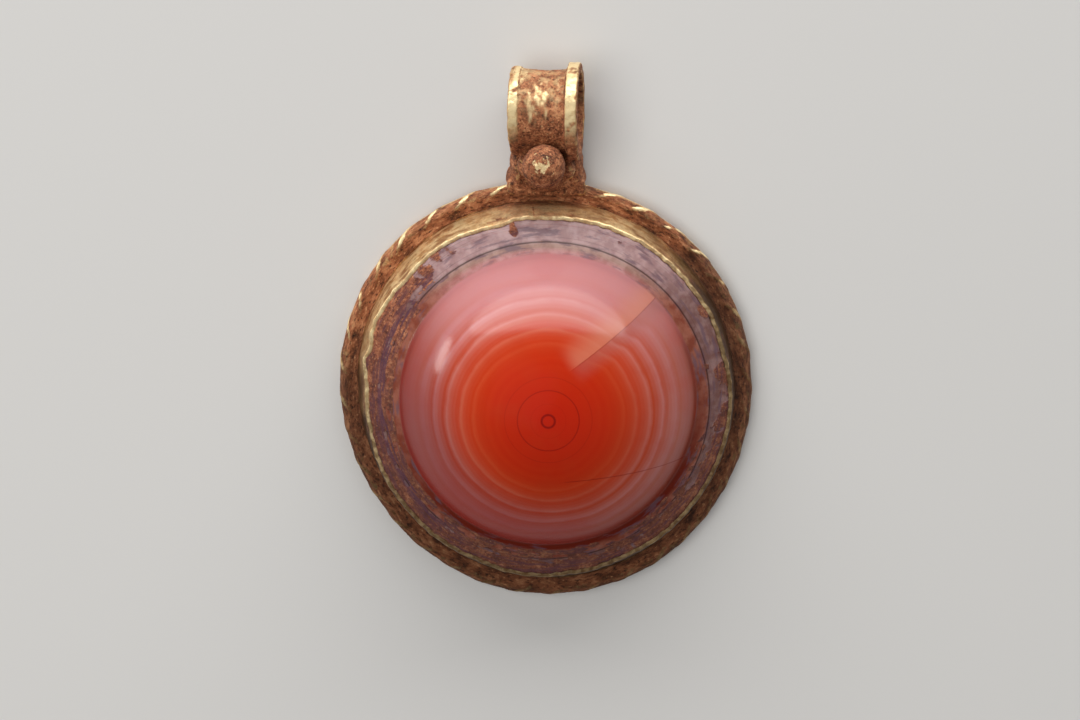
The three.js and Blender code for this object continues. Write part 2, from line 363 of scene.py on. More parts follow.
def in_millimetres(tree):
    """The place on the piece, in millimetres."""
    where = put(tree, "TexCoord").outputs["Object"]
    return put(tree, "VectorMath", {"operation": "SCALE"}, i0=where, Scale=1 / METRES).outputs[0]


def vectors(tree, operation, a, **more):
    """One sum of vectors."""
    return put(tree, "VectorMath", {"operation": operation}, i0=a, **more).outputs


def flattened(tree, where):
    """The three axes of a place, and the place without its height."""
    axes = put(tree, "SeparateXYZ", Vector=where).outputs
    return axes, put(tree, "CombineXYZ", X=axes["X"], Y=axes["Y"], Z=0.0).outputs[0]


def along_the_ring(tree, where, pace, across):
    """Places drawn out along a ring round the upright axis, for streaks that follow it."""
    axes, flat = flattened(tree, where)
    reach = vectors(tree, "LENGTH", flat)["Value"]
    ring = vectors(tree, "SCALE", vectors(tree, "NORMALIZE", flat)[0], Scale=pace)[0]
    out = times(tree, minus(tree, reach, axes["Z"]), across)
    return vectors(tree, "ADD", ring, i1=put(tree, "CombineXYZ", X=0.0, Y=0.0, Z=out).outputs[0])[0]


def new_group(name, inputs, outputs):
    """An empty node group. Inputs are numbers with a value, and outputs have a kind."""
    group = bpy.data.node_groups.new(name, "ShaderNodeTree")
    for label, value in inputs.items():
        socket = group.interface.new_socket(label, in_out="INPUT", socket_type="NodeSocketFloat")
        socket.default_value = value
    for label, kind in outputs.items():
        group.interface.new_socket(label, in_out="OUTPUT", socket_type="NodeSocket" + kind)
    return group, group.nodes.new("NodeGroupInput").outputs, group.nodes.new("NodeGroupOutput").inputs


def place_group(tree, group, **wires):
    """Place a shared group in a finish with its own values."""
    return put(tree, "Group", {"node_tree": group}, **wires).outputs


def attribute(tree, name):
    """A number that a piece keeps at its vertices."""
    return put(tree, "Attribute", {"attribute_name": name}).outputs["Fac"]


def dress(tree, height, depth, **looks):
    """Wire the shader of a finish: its looks by socket name, and bumps of a depth in metres."""
    looks["Normal"] = put(tree, "Bump", Strength=0.8, Distance=depth, Height=height).outputs[0]
    for name, value in looks.items():
        tree.links.new(value, tree.nodes["Principled BSDF"].inputs[name.replace("_", " ")])


# %% [markdown]
# ## Soil, gold and where they meet
#
# Four groups are shared by the finishes. Soil is a dry orange-brown earth with dark crumbs, which
# can be drawn out along the ring where a finger wiped it. Gold is the rubbed metal, with blotches
# of thin brown film, hair scratches and tiny pits. The third group decides where soil lies: in
# the hollows that `mark_relief` measured, broken up by noise. The last one is painted shade: it
# darkens the right side and the foot of the setting, which face away from the lamps.

# %% Group: soil
soil, take, give = new_group(
    "dry_soil", {"Darkness": 0.0, "Drawn": 0.0}, {"Colour": "Color", "Height": "Float"})
mm = in_millimetres(soil)
where = put(soil, "Mix", {"data_type": "VECTOR"}, i0=take["Drawn"],
            i4=mm, i5=along_the_ring(soil, mm, 6.5, 1.5)).outputs[1]
clods = cloud(soil, where, 1.5, 6, 0.66)
crumbs = cloud(soil, where, 6.0, 5, 0.7)
grit = put(soil, "TexVoronoi", Vector=where, Scale=8.0).outputs["Distance"]
shade = ramp(soil, clods, [
    (0.32, colour(70, 38, 22)), (0.44, colour(122, 70, 43)),
    (0.54, colour(156, 94, 60)), (0.68, colour(198, 136, 94))])
shade = mix(soil, fade(soil, crumbs, 0.48, 0.33), shade, colour(48, 24, 15))
# Light crumbs: partly pale grains of the soil, partly a painted highlight on the crumbs' tops.
shade = mix(soil, fade(soil, crumbs, 0.58, 0.70), shade, colour(214, 158, 112))
# Painted shade: Darkness darkens the soil on the side away from the light.
shade = mix(soil, take["Darkness"], shade, colour(40, 23, 14))
soil.links.new(shade, give["Colour"])
soil.links.new(plus(soil, times(soil, crumbs, 1.2), times(soil, grit, 0.35)), give["Height"])

# %% Group: rubbed gold
gold, take, give = new_group(
    "rubbed_gold", {"Film": 0.3, "Darkness": 0.0, "Rubbed": 0.0},
    {"Colour": "Color", "Roughness": "Float", "Height": "Float"})
mm = in_millimetres(gold)
blotch = cloud(gold, mm, 0.55, 5, 0.6)
patch = cloud(gold, mm, 2.4, 4, 0.6)
pits = put(gold, "TexVoronoi", Vector=mm, Scale=4.2).outputs["Distance"]
slanting = put(gold, "Mapping", Vector=mm, Rotation=(0.2, 0.4, 0.9), Scale=(14, 1.1, 2.0)).outputs[0]
hair = cloud(gold, slanting, 1.6, 2)
clean = mix(gold, fade(gold, patch, 0.35, 0.65), colour(212, 162, 102), colour(244, 204, 146))
# Pale worn gold. On the wire, the band and the loop this also carries painted light and shade.
pale_wear_and_light = times(gold, take["Rubbed"], fade(gold, patch, 0.30, 0.55, 0.5, 1.0))
clean = mix(gold, pale_wear_and_light, clean, colour(255, 229, 174))
film = sums(gold, "ADD", fade(gold, blotch, 0.40, 0.62), fade(gold, patch, 0.52, 0.72), clamp=True)
film = sums(gold, "MULTIPLY", film, take["Film"], clamp=True)
shade = mix(gold, film, clean, colour(140, 82, 50))
shade = mix(gold, fade(gold, pits, 0.10, 0.02), shade, colour(90, 52, 34))
# Painted shade: Darkness darkens the gold on the side away from the light.
shade = mix(gold, take["Darkness"], shade, colour(70, 46, 26))
gold.links.new(shade, give["Colour"])
gold.links.new(plus(gold, blend(gold, film, 0.32, 0.55), times(gold, hair, 0.1)), give["Roughness"])
dents = plus(gold, times(gold, patch, 0.8), times(gold, hair, 0.35))
gold.links.new(minus(gold, dents, fade(gold, pits, 0.12, 0.02, 0.0, 0.5)), give["Height"])

# %% Group: where soil lies
where_soil, take, give = new_group(
    "where_soil_lies", {"Relief": 0.0, "Level": 0.0, "Edge": 0.05, "Break": 0.1}, {"Soil": "Float"})
ragged = minus(where_soil, cloud(where_soil, in_millimetres(where_soil), 2.6, 5, 0.65), 0.5)
high = plus(where_soil, take["Relief"], times(where_soil, ragged, take["Break"]))
high = sums(where_soil, "DIVIDE", minus(where_soil, high, take["Level"]), take["Edge"])
where_soil.links.new(fade(where_soil, high, 0.5, -0.5), give["Soil"])

# %% Group: painted shade on the dark side
# Painted shade: the side of the setting that faces away from the light, which comes from BRIGHT_WAY,
# is darkened.
BRIGHT_WAY = (-0.342, 0.94, 0.0)  # up, and a little to the left
painted_shade_side, take, give = new_group("painted_shade_side", {"Amount": 1.0}, {"Dark": "Float"})
mm = in_millimetres(painted_shade_side)
way = vectors(painted_shade_side, "NORMALIZE", flattened(painted_shade_side, mm)[1])[0]
facing = vectors(painted_shade_side, "DOT_PRODUCT", way, i1=BRIGHT_WAY)["Value"]
uneven = times(painted_shade_side, minus(painted_shade_side, cloud(painted_shade_side, mm, 0.4, 4), 0.5), 0.8)
dark = fade(painted_shade_side, plus(painted_shade_side, facing, uneven), 0.75, 0.2)
painted_shade_side.links.new(times(painted_shade_side, dark, take["Amount"]), give["Dark"])


# %% [markdown]
# ## One finish for all the gold
#
# Each gold piece gets a material of its own from the same recipe. It reads three numbers that the
# piece keeps at its vertices: the relief, the places packed with soil and the places worn bright,
# which on the wire, the band and the loop also carry painted light and shade. Worn places are less
# metallic, because fine scratches scatter the light there.

# %% Gold finish
SOIL_ROUGHNESS = 0.8


def gold_finish(name, level, edge, ragged, film, dark, drawn=0.0, bump=0.00006):
    """Rubbed gold on the ridges and soil in the hollows, as one material."""
    finish, tree, _ = new_finish(name)
    wear_and_light = attribute(tree, "wear_and_light")
    dull = minus(tree, 1.0, wear_and_light, clamp=True)
    shadow = times(tree, place_group(tree, painted_shade_side, Amount=dark)["Dark"], dull)
    relief = attribute(tree, "relief")
    hollow = place_group(
        tree, where_soil, Relief=relief, Level=level, Edge=edge, Break=ragged)["Soil"]
    lies = times(tree, sums(tree, "MAXIMUM", hollow, attribute(tree, "packed"), clamp=True), dull)
    speckle = cloud(tree, in_millimetres(tree), 5.0, 4, 0.7)
    lies = times(tree, lies, fade(tree, speckle, 0.58, 0.72, 1.0, 0.25))
    metal = place_group(tree, gold, Film=times(tree, dull, film), Darkness=shadow, Rubbed=wear_and_light)
    earth = place_group(tree, soil, Darkness=times(tree, shadow, 0.75), Drawn=drawn)
    metallic = minus(tree, 0.85, times(tree, wear_and_light, 0.3))
    dress(tree, blend(tree, lies, metal["Height"], earth["Height"]), bump,
          Base_Color=mix(tree, lies, metal["Colour"], earth["Colour"]),
          Roughness=blend(tree, lies, metal["Roughness"], SOIL_ROUGHNESS),
          Metallic=blend(tree, lies, metallic, 0.0))
    return finish


# %% [markdown]
# ## Back plate
#
# The plate is sheet gold, hammered flat. A profile is traced with one vertex, spun round the
# upright axis and then drawn out to the oval. Its underside isn't seen in the photograph, so it is
# plain, with faint dents.

# %% Spinning a profile
def spin_profile(name, profile, steps):
    """Trace a profile of radius and height with one vertex, and spin it round the upright axis."""
    select_nothing()
    bpy.ops.mesh.primitive_plane_add(size=1)
    piece = bpy.context.object
    piece.name = name
    bpy.ops.object.mode_set(mode="EDIT")
    bpy.ops.mesh.merge(type="CENTER")
    radius, height = profile[0]
    bpy.ops.transform.translate(value=(radius, 0, height))
    for next_radius, next_height in profile[1:]:
        bpy.ops.mesh.extrude_vertices_move(
            TRANSFORM_OT_translate={"value": (next_radius - radius, 0, next_height - height)})
        radius, height = next_radius, next_height
    bpy.ops.mesh.select_all(action="SELECT")
    bpy.ops.mesh.spin(steps=steps, angle=TURN, center=(0, 0, 0), axis=(0, 0, 1))
    bpy.ops.mesh.select_all(action="SELECT")
    bpy.ops.mesh.remove_doubles(threshold=0.0005)
    bpy.ops.mesh.normals_make_consistent(inside=False)
    bpy.ops.object.mode_set(mode="OBJECT")
    return piece


# %% Back plate
PLATE_EDGE = BORDER_RADIUS - 0.3
rings = [PLATE_EDGE * step / 30 for step in range(30)]
plate_profile = (
    [(radius, 0.0) for radius in rings] + [(PLATE_EDGE - 0.12, 0.0), (PLATE_EDGE, 0.12)]
    + [(PLATE_EDGE, PLATE_TOP - 0.12), (PLATE_EDGE - 0.12, PLATE_TOP)]
    + [(radius, PLATE_TOP) for radius in rings[::-1] if radius > 13.0] + [(0.0, PLATE_TOP)])
back_plate = spin_profile("hammered_back_plate", plate_profile, 240)
points = places(back_plate)
angle, radius = around(points)
stretched = radius * (1 + outline(angle) / BORDER_RADIUS)
points[:, 0], points[:, 1] = stretched * np.cos(angle), stretched * np.sin(angle)
underside = (points[:, 2] < 0.01) & (radius < PLATE_EDGE - 1)
points[underside, 2] += 0.05 * np.clip(lumps(points[underside], 2.4), 0, 1)
set_places(back_plate, points)
mark_relief(back_plate, 6)
plate_gold = gold_finish("hammered_plate_gold", -0.004, 0.02, 0.03, 0.8, 0.3)
hand_over(back_plate, "back_plate", plate_gold)

# %% [markdown]
# ## Twisted border wire
#
# Two round wires were twisted together, laid round the box and soldered. Each strand is a curve
# that winds round the border's middle line and is given a thickness. Solder and earth fill the pair
# almost to its ridges, and earth lies between the wire and the box. A voxel remesh fuses all that
# into one skin and rounds the seams between them. Noise wears the ridges down unevenly.

# %% Strands of the border
WIRE_TURNS = 18
POINTS_PER_TURN = 44
STRAND_RADIUS = 0.315
THROW = 0.27  # how far each strand winds from the middle line of the pair
CORE_RADIUS = 0.52


def strand(phase):
    """One wire of the pair, as a closed curve with a thickness, made into a mesh."""
    select_nothing()
    bpy.ops.curve.primitive_bezier_circle_add()
    wire = bpy.context.object
    wire.data.splines.clear()
    spline = wire.data.splines.new("POLY")
    count = WIRE_TURNS * POINTS_PER_TURN
    spline.points.add(count - 1)
    angle = TURN * np.arange(count) / count
    twist = phase + WIRE_TURNS * angle
    middle = BORDER_RADIUS + outline(angle) - WIRE_RADIUS
    radius = middle + THROW * np.cos(twist)
    height = WIRE_HEIGHT + THROW * np.sin(twist)
    row = np.stack([radius * np.cos(angle), radius * np.sin(angle), height, np.ones(count)], axis=1)
    spline.points.foreach_set("co", row.ravel())
    spline.use_cyclic_u = True
    wire.data.dimensions = "3D"
    wire.data.bevel_depth = STRAND_RADIUS
    wire.data.bevel_resolution = 3
    bpy.ops.object.convert(target="MESH")
    return bpy.context.object


def to_outline(ring):
    """Draw a round ring out to the outline of the setting."""
    points = places(ring)
    angle, radius = around(points)
    radius = radius + outline(angle)
    points[:, 0], points[:, 1] = radius * np.cos(angle), radius * np.sin(angle)
    set_places(ring, points)
    return ring


def core():
    """Solder and earth that fill the pair almost to its ridges."""
    select_nothing()
    bpy.ops.mesh.primitive_torus_add(
        major_radius=BORDER_RADIUS - WIRE_RADIUS, minor_radius=CORE_RADIUS, major_segments=360,
        minor_segments=20, location=(0, 0, WIRE_HEIGHT))
    return to_outline(settled())


def soil_bed():
    """The earth that lies between the wire and the box, nearly as high as the wire."""
    inner, outer = BORDER_RADIUS - 1.66, BORDER_RADIUS - 0.62
    return to_outline(spin_profile("bed", [
        (inner, 0.72), (outer, 0.72), (outer, 1.80), (outer - 0.4, 1.74), (outer - 0.7, 1.66),
        (inner + 0.1, 1.62), (inner, 1.64), (inner, 0.72)], 360))


def join(first, *others):
    only(first)
    for piece in others:
        piece.select_set(True)
    bpy.ops.object.join()
    return first


def even_out(piece, voxel, smoothing):
    """Fuse all shells into one skin of small even faces, then smooth it a little."""
    apply_modifier(piece, "REMESH", mode="VOXEL", voxel_size=voxel)
    apply_modifier(piece, "SMOOTH", factor=0.5, iterations=smoothing)


border = join(strand(0.0), strand(math.pi), core(), soil_bed())
border.name = "twisted_border_wire"
even_out(border, 0.082, 2)
points = places(border)
push = 0.014 * lumps(points, 0.5, 4) + 0.06 * lumps(points, 3.2, 2, (3, 1, 7)) - 0.01
set_places(border, points + directions(border) * push[:, None])
mark_relief(border, 26)

# %% [markdown]
# A border is rubbed where it stands out most: on the crests of the twist and on its outer edge. Both
# are brightest towards the loop, partly from wear and partly as painted light, and streaks break them
# up.

# %% Where the border is worn
def streaks_round(angle, pace, across, size, place):
    """Lumps drawn out along the ring."""
    spread = np.stack([pace * np.cos(angle), pace * np.sin(angle), across], axis=1)
    return lumps(spread, size, 4, place)


def towards(angle, degrees, low, high):
    """From 0 to 1 where the ring faces a direction."""
    return step_up(np.cos(angle - math.radians(degrees)), low, high)


angle, radius = around(points)
side = radius - (BORDER_RADIUS + outline(angle) - WIRE_RADIUS)
crest = np.cos(2 * (np.arctan2(points[:, 2] - WIRE_HEIGHT, side) - WIRE_TURNS * angle))
# Painted light: the wear is kept towards the loop, the side the light comes from, and faded
# elsewhere.
wear_and_light_at_top = 0.25 + 0.75 * towards(angle, 100, -0.1, 0.6)
streaks = streaks_round(angle, 6, 2.2 * side, 0.6, (8, 8, 2))
rub = crest + 0.40 * streaks - 0.45 * step_up(0.25 - side, 0.0, 0.5)
crests = step_up(rub, 0.72, 0.96) * wear_and_light_at_top * step_up(side, -0.15, 0.2)
outer_line = step_up(side, 0.44, 0.52) * step_up(streaks, -0.35, 0.15) * wear_and_light_at_top
mark(border, "wear_and_light", np.maximum(crests, 0.8 * outer_line))
border_gold = gold_finish("twisted_wire_gold", 0.05, 0.035, 0.10, 0.85, 0.75, drawn=1.0)
hand_over(border, "border_wire", border_gold)

# %% [markdown]
# ## Band that holds the stone
#
# A strip of thin sheet stands on edge round the stone, and its upper edge was pressed in with a
# burnisher. The sheet wrinkled where there was too much of it. A circle is extruded upwards in
# short steps, given its thickness, and its rim is rounded with a bevel. Then the wall leans in and
# gets its wrinkles, and at a few places a fold where the edge jumps from one line to another. The
# line of the rim is a table, because each real wrinkle has its own place and depth.

# %% Wrinkles and folds of the rim
RIM_LINE = [  # direction in degrees, and how far the rim stands out there, in mm
    (-40, -0.12), (-20, -0.11), (0, -0.16), (8, -0.24), (15, -0.36), (27, -0.20), (35, -0.32),
    (50, -0.28), (60, -0.20), (66, -0.28), (73, -0.24), (80, -0.28), (90, -0.32), (97, -0.22),
    (101, -0.16), (104, -0.42), (110, -0.28), (120, 0.0), (127, 0.08), (133, 0.06), (140.5, -0.06),
    (143.5, 0.10), (150, 0.16), (156, 0.28), (160, 0.18), (163.5, -0.08), (166, -0.04),
    (168.4, 0.26), (170.5, 0.10), (173, -0.10), (178, -0.30), (186, -0.24), (190, -0.30),
    (200, -0.18), (210, -0.10), (220, -0.14), (232, -0.04), (242, -0.06), (248, -0.10), (255, 0.06),
    (262, 0.12), (270, 0.10), (277, -0.04), (283, 0.02), (290, -0.12), (297, -0.14), (307, -0.06)]


def read_table(table, angle):
    """The value at an angle, from pairs of direction and value."""
    way, value = zip(*table)
    return np.interp(np.degrees(angle), way, value, period=360)


def wrinkles(angle):
    """How far the rim stands out or in at an angle, with small wrinkles between the big ones."""
    steps = np.linspace(-45, 315, 1441)
    window = np.hanning(9) / np.hanning(9).sum()
    line = read_table(RIM_LINE, np.radians(steps))
    soft = np.convolve(np.tile(line, 3), window, "same")[len(steps):2 * len(steps)]
    small = 0.02 * np.cos(62 * angle + 2 * np.sin(5 * angle)) + 0.015 * np.cos(97 * angle)
    return np.interp((np.degrees(angle) + 45) % 360 - 45, steps, soft) + small


# %% Wall of the band
FOOT_RADIUS = BORDER_RADIUS - 2 * WIRE_RADIUS - 0.28
BAND_HEIGHT = RIM_TOP - PLATE_TOP
SHEET = 0.36
LEAN_IN = 0.57
BELLY = 0.10
STEPS_UP = 18
select_nothing()
bpy.ops.mesh.primitive_circle_add(vertices=1080, radius=FOOT_RADIUS, location=(0, 0, PLATE_TOP))
band = settled()
band.name = "stone_band"
bpy.ops.object.mode_set(mode="EDIT")
bpy.ops.mesh.select_all(action="SELECT")
rise = {"value": (0, 0, BAND_HEIGHT / STEPS_UP)}
for _ in range(STEPS_UP):
    bpy.ops.mesh.extrude_region_move(TRANSFORM_OT_translate=rise)
bpy.ops.mesh.select_all(action="SELECT")
bpy.ops.mesh.normals_make_consistent(inside=False)
bpy.ops.object.mode_set(mode="OBJECT")
if directions(band)[0] @ places(band)[0] < 0:
    band.data.flip_normals()
apply_modifier(band, "SOLIDIFY", thickness=SHEET, offset=-1, use_rim=True)
apply_modifier(band, "BEVEL", width=0.13, segments=3, limit_method="ANGLE", angle_limit=0.9)
points = places(band)
angle, radius = around(points)
share = np.clip((points[:, 2] - PLATE_TOP) / BAND_HEIGHT, 0, 1)
radius = radius - LEAN_IN * share + BELLY * np.sin(math.pi * share)
radius += outline(angle) * (1 - share) + wrinkles(angle) * share ** 1.6
radius += 0.022 * lumps(points, 1.3, 3) + 0.012 * lumps(points, 0.45, 2, (5, 5, 5))
points[:, 0] = radius * np.cos(angle) + STONE_AXIS[0] * share
points[:, 1] = radius * np.sin(angle) + STONE_AXIS[1] * share
points[:, 2] += 0.05 * lumps(points, 1.6, 2, (9, 2, 4)) * share
set_places(band, points)
mark_relief(band, 10)

# %% [markdown]
# The face of the band is pale at the upper left and upper right, partly rubbed bright and partly
# painted light on the sides that face the lamps. Soil stands at its foot, fills the slot between band
# and stone, and lies thinly on the face under the loop. The ends of the strip meet there too, in an
# upright seam, and painted light lifts the upper face there out of the loop's shadow. All round, the
# rim is the brightest line of the piece, worn bright, with painted shade dimming it away from the
# light.

# %% Soil and wear on the band
height = points[:, 2]
# The pale side of the face: partly wear, partly painted light on the sides that face the lamps.
worn_and_lit_side = np.exp(-(apart(angle, 137) / 32) ** 4) + 0.8 * np.exp(-(apart(angle, 66) / 13) ** 2)
streaks = streaks_round(angle, 7, 1.6 * height, 0.55, (2, 5, 1))
line_of_soil = PLATE_TOP + 1.4 - 0.55 * worn_and_lit_side
foot = 1 - step_up(height + 0.3 * lumps(points, 0.8, 3) - line_of_soil, -0.25, 0.3)
inside = step_up(RIM_TOP - 0.22 - height, 0.0, 0.3) * (radius < FOOT_RADIUS - LEAN_IN * share - 0.2)
seam = step_up(0.16 - np.abs(apart(angle, 94.3)), 0.0, 0.06) * (height < RIM_TOP - 0.1)
under_loop = np.exp(-(apart(angle, 95) / 14) ** 4) * step_up(streaks, -0.8, -0.1)
packed = np.maximum.reduce([0.85 * foot, inside, seam, 0.85 * under_loop])
mark(band, "packed", np.clip(packed, 0, 1))
rim = step_up(height + 0.05 * lumps(points, 0.6, 3), RIM_TOP - 0.15, RIM_TOP - 0.04)
# Uneven wear along the rim, and painted shade that dims the rim towards the right and the foot, away
# from the light.
rim_wear_and_light = 0.6 + 0.4 * step_up(lumps(points, 0.5, 3, (1, 1, 6)), -0.2, 0.3)
rim_wear_and_light *= 0.5 + 0.5 * towards(angle, 115, -0.4, 0.6)
face = worn_and_lit_side * step_up(streaks + 0.25, -0.2, 0.5) * step_up(height - line_of_soil, -0.1, 0.5)
upper_face = step_up(height, PLATE_TOP + 1.2, PLATE_TOP + 2.6)
# Painted light: the upper face under the loop is made pale, against the loop's shadow.
face += 0.40 * np.exp(-(apart(angle, 96) / 15) ** 4) * upper_face
wear_and_light = np.clip(np.maximum(rim * rim_wear_and_light, 0.75 * face), 0, 1)
mark(band, "wear_and_light", wear_and_light * (1 - inside) * (1 - seam))
band_gold = gold_finish("band_gold", -0.03, 0.05, 0.06, 0.75, 0.95, drawn=0.7, bump=0.00004)
hand_over(band, "bezel_band", band_gold)

# %% [markdown]
# ## Agate
#
# The stone was ground to a high dome above a sloping shoulder, with a straight girdle that the band
# grips. Spinning a profile gives all three, and a dome with no flat facets.

# %% Profile of the stone
GIRDLE_RADIUS, GIRDLE_TOP = 13.94, 4.73
DOME_RADIUS, DOME_BASE, DOME_HEIGHT = 11.74, 6.07, 7.26
CAP_RADIUS = (DOME_RADIUS ** 2 + DOME_HEIGHT ** 2) / (2 * DOME_HEIGHT)
lean_at_base = math.asin(DOME_RADIUS / CAP_RADIUS)
DOME_TOP = DOME_BASE + DOME_HEIGHT
SHOULDER_START = GIRDLE_RADIUS - 0.13  # the girdle's upper edge is rounded
SHOULDER_STEPS, DOME_STEPS = 20, 54
stone_profile = [(0.0, PLATE_TOP), (7.0, PLATE_TOP), (GIRDLE_RADIUS - 0.1, PLATE_TOP)]
stone_profile += [(GIRDLE_RADIUS, PLATE_TOP + 0.1), (GIRDLE_RADIUS, 2.4), (GIRDLE_RADIUS, 3.6)]
stone_profile += [(GIRDLE_RADIUS, 4.0 + 0.15 * step) for step in range(4)]
stone_profile += [(GIRDLE_RADIUS - 0.05, 4.6), (SHOULDER_START, 4.7)]
for step in range(1, SHOULDER_STEPS):
    share = step / SHOULDER_STEPS
    stone_profile.append((
        SHOULDER_START + (DOME_RADIUS - SHOULDER_START) * share,
        GIRDLE_TOP + (DOME_BASE - GIRDLE_TOP) * share))
for step in range(DOME_STEPS):
    lean = lean_at_base * (1 - step / DOME_STEPS)
    drop = CAP_RADIUS * (1 - math.cos(lean))
    stone_profile.append((CAP_RADIUS * math.sin(lean), DOME_TOP - drop))
stone_profile.append((0.0, DOME_TOP))
stone = spin_profile("agate_dome", stone_profile, 480)

# %% [markdown]
# The soil that was never cleaned off the shoulder is real thickness here: vertices are pushed out by
# a crumbly field, and the same field is kept for the finish to colour them. A table says how much
# lies in each direction. The girdle's upper edge is also pushed out here, until it meets the
# wrinkled band.

# %% Soil on the shoulder
SOIL_COVER = [  # direction in degrees, and how much soil lies on the shoulder there
    (-40, 0.45), (-15, 0.30), (0, 0.15), (20, 0.0), (45, -0.15), (60, -0.25), (90, -0.20),
    (115, -0.15), (130, 0.0), (140, 0.30), (155, 0.70), (170, 0.75), (190, 0.65), (215, 0.60),
    (240, 0.50), (262, 0.55), (285, 0.45), (305, 0.45)]
TO_THE_BAND = 0.47
points = places(stone)
angle, radius = around(points)
sector = read_table(SOIL_COVER, angle)
above_girdle = step_up(points[:, 2], 4.0, 4.3)
rim_near = step_up(radius + 0.3 * lumps(points, 1.1, 3), 13.25, 13.7) * above_girdle
slope = step_up(radius, 12.0, 12.4) * above_girdle
tear = np.exp(-(apart(angle, 101.5) / 1.6) ** 2) * step_up(radius, 12.7, 13.4)
cover = slope * sector + rim_near * (0.25 + 0.4 * sector) + 0.9 * tear
crust = np.zeros(len(points))
near = slope > 0.001
drawn = streaks_round(angle[near], 6.5, 1.3 * radius[near], 0.7, (4, 4, 4))
crust[near] = cover[near] + 0.25 * lumps(points[near], 0.6, 4) + 0.55 * drawn
crust = step_up(crust, 0.15, 0.75) * slope
thick = 0.025 + 0.035 * rim_near
grains = np.zeros(len(points))
grains[near] = lumps(points[near], 0.28, 3, (2, 8, 1))
push = crust * thick * (1 + 0.6 * grains)
points += directions(stone) * push[:, None]
edge = step_up(points[:, 2], 3.7, 4.0) * step_up(radius, 13.7, 13.9)
edge_push = (TO_THE_BAND + wrinkles(angle) + 0.06 * grains) * edge
points[:, 0] += np.cos(angle) * edge_push + STONE_AXIS[0]
points[:, 1] += np.sin(angle) * edge_push + STONE_AXIS[1]
set_places(stone, points)
mark(stone, "crust", crust)
print("share of the shoulder under soil:", round(float(crust[slope > 0.5].mean()), 2))

# %% [markdown]
# ## Finish of the agate
#
# The stone grew in flat layers, so on a dome they show as rings round its axis. Two colour ramps
# read the distance from that axis, one for the ground colour and one for the light layers: deep
# orange-red at the eye, pink further out. Noise makes the rings wander a little. The clear polish
# over it all is the shader's coat, which is worn off where soil lies and towards the foot.

# %% Places on the stone
agate, tree, shader = new_finish("banded_agate")
mm = in_millimetres(tree)
from_axis = vectors(tree, "SUBTRACT", mm, i1=(*STONE_AXIS, 0.0))[0]
axes, flat = flattened(tree, from_axis)
reach = vectors(tree, "LENGTH", flat)["Value"]
right, up = axes["X"], axes["Y"]
wander = times(tree, minus(tree, cloud(tree, from_axis, 0.16, 3), 0.5), 0.6)
waver = times(tree, minus(tree, cloud(tree, from_axis, 1.4, 3), 0.5), 0.06)

# %% [markdown]
# A fracture stands across the dome, from near the eye to the shoulder at the upper right. It is a
# plane, so two turned axes describe it: one along it and one away from it. The rings on its lower
# side are shifted outwards.

# %% The plane of the fracture
FRACTURE_WAY = (0.83, 0.558)
FRACTURE_FROM_AXIS = 2.17
along = plus(tree, times(tree, right, FRACTURE_WAY[0]), times(tree, up, FRACTURE_WAY[1]))
off = plus(tree, times(tree, right, -FRACTURE_WAY[1]), times(tree, up, FRACTURE_WAY[0]))
off = plus(tree, minus(tree, off, FRACTURE_FROM_AXIS), times(tree, waver, 0.8))
starts = fade(tree, along, 3.2, 4.6)
below = times(tree, fade(tree, off, 0.03, -0.03), fade(tree, off, -1.6, -0.1), starts)
ring_reach = plus(tree, reach, plus(tree, wander, waver), times(tree, below, 0.34))

# %% Layers of the dome
LAYERS = [  # reach in mm, and how light the layer is there
    (0.0, 0.3), (3.75, 0.2), (4.05, 0.6), (4.3, 0.1), (4.75, 0.7), (4.95, 0.1), (5.5, 0.3),
    (5.78, 0.9), (5.95, 0.15), (6.45, 0.35), (6.72, 1.0), (6.92, 0.1), (7.5, 0.4), (7.82, 1.0),
    (8.05, 0.05), (8.5, 0.5), (8.82, 1.0), (9.05, 0.15), (9.5, 0.6), (9.86, 1.0), (10.25, 0.15),
    (10.7, 0.75), (11.1, 0.8), (11.5, 0.1), (11.8, 0.3)]
GROUND = [  # reach in mm, and the colour there
    (0.0, (0.43, 0.010, 0.0006)), (4.5, (0.44, 0.017, 0.001)),
    (6.0, (0.45, 0.03, 0.004)), (7.2, (0.45, 0.042, 0.012)),
    (8.0, (0.43, 0.048, 0.014)), (9.0, (0.41, 0.062, 0.026)),
    (10.3, (0.37, 0.072, 0.038)), (11.2, (0.31, 0.060, 0.034)),
    (11.6, (0.17, 0.022, 0.010))]
LIGHT = [
    (0.0, (0.45, 0.013, 0.001)), (4.8, (0.47, 0.026, 0.003)),
    (5.8, (0.48, 0.052, 0.014)), (6.7, (0.49, 0.090, 0.045)),
    (7.8, (0.50, 0.150, 0.115)), (8.8, (0.50, 0.185, 0.170)),
    (9.8, (0.44, 0.155, 0.148)), (10.8, (0.36, 0.105, 0.095)),
    (11.6, (0.30, 0.080, 0.060))]
SPAN = 14.5


def by_reach(table):
    """A ramp from the axis outwards, from a table in millimetres."""
    share = sums(tree, "DIVIDE", ring_reach, SPAN)
    return ramp(tree, share, [(at / SPAN, value) for at, value in table])


